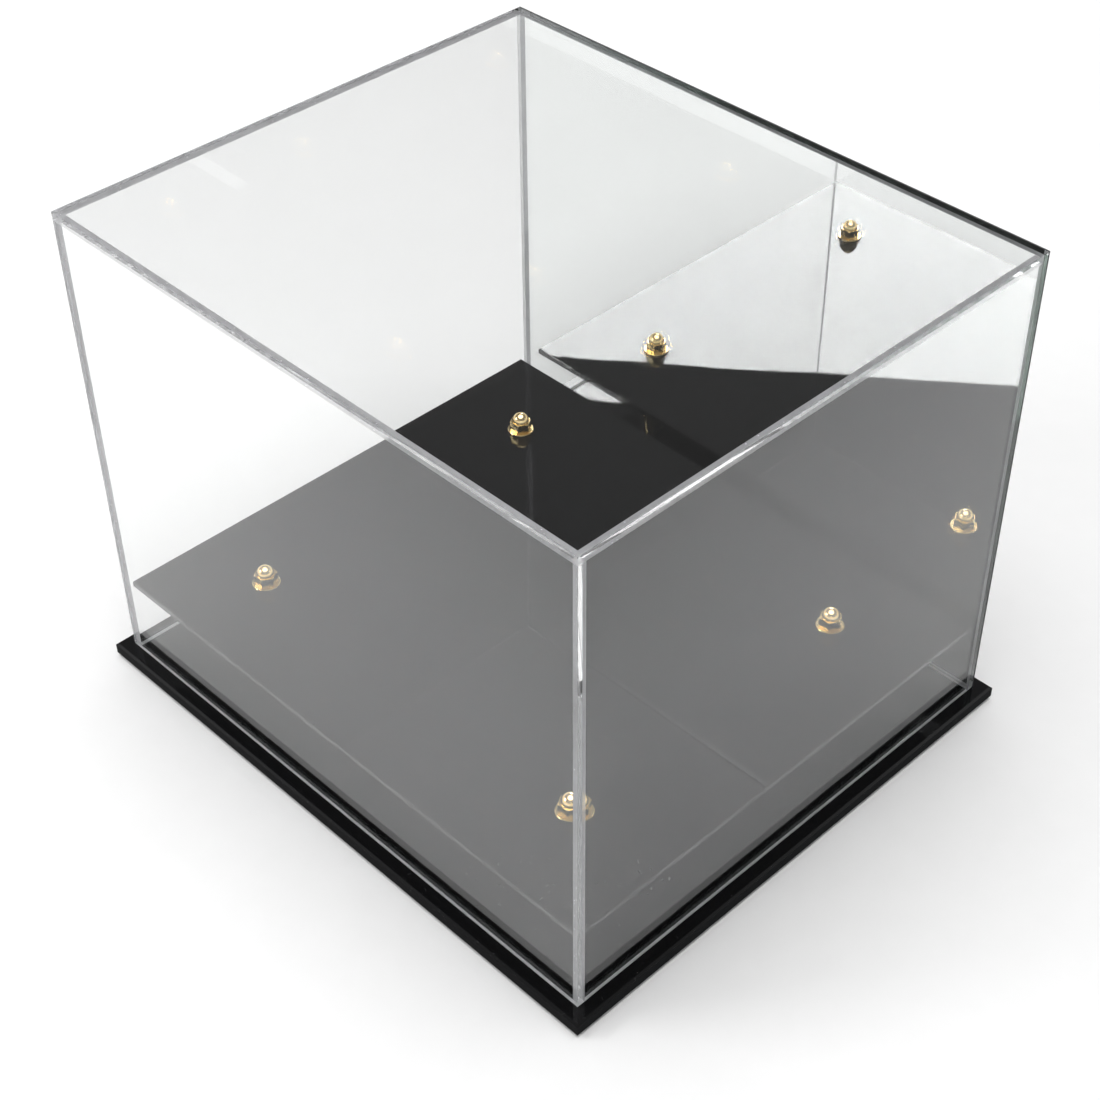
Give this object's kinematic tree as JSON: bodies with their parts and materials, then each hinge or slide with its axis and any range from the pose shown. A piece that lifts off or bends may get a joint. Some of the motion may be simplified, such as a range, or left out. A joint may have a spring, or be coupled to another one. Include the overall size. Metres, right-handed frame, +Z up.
{
  "type": "display case",
  "caption": "Tabletop display case: a clear lift-off cover with a mirrored back, over a raised gloss-black platform on brass risers and a black base plate",
  "frame": {"origin": "on the table, under the middle of the base plate, at the height of the bottom of the feet", "axes": "+Z up, +X to the right along the long side, +Y from the front panel towards the mirrored back"},
  "size_m": [0.313, 0.273, 0.245],
  "materials": {
    "black_acrylic": "gloss",
    "gold_brass": "polished",
    "screw_steel": "satin",
    "foot_rubber": "matte",
    "clear_acrylic": "polished",
    "mirror_acrylic": "polished",
    "backing_paint": "matte"
  },
  "bodies": {
    "base": {"base_plate": "black_acrylic", "platform": "black_acrylic", "riser_front_left": "gold_brass", "riser_front_right": "gold_brass", "riser_back_left": "gold_brass", "riser_back_right": "gold_brass", "riser_screws": "screw_steel", "washers": "gold_brass", "cap_nuts": "gold_brass", "foot_front_left": "foot_rubber", "foot_front_right": "foot_rubber", "foot_back_left": "foot_rubber", "foot_back_right": "foot_rubber"},
    "cover": {"front_panel": "clear_acrylic", "left_panel": "clear_acrylic", "right_panel": "clear_acrylic", "top_panel": "clear_acrylic", "mirror_panel": "mirror_acrylic", "mirror_backing": "backing_paint"}
  },
  "joints": [
    {"name": "cover_lift", "type": "slide", "parent": "base", "child": "cover", "axis": [0, 0, 1], "range_m": [0, 0.25]}
  ]
}
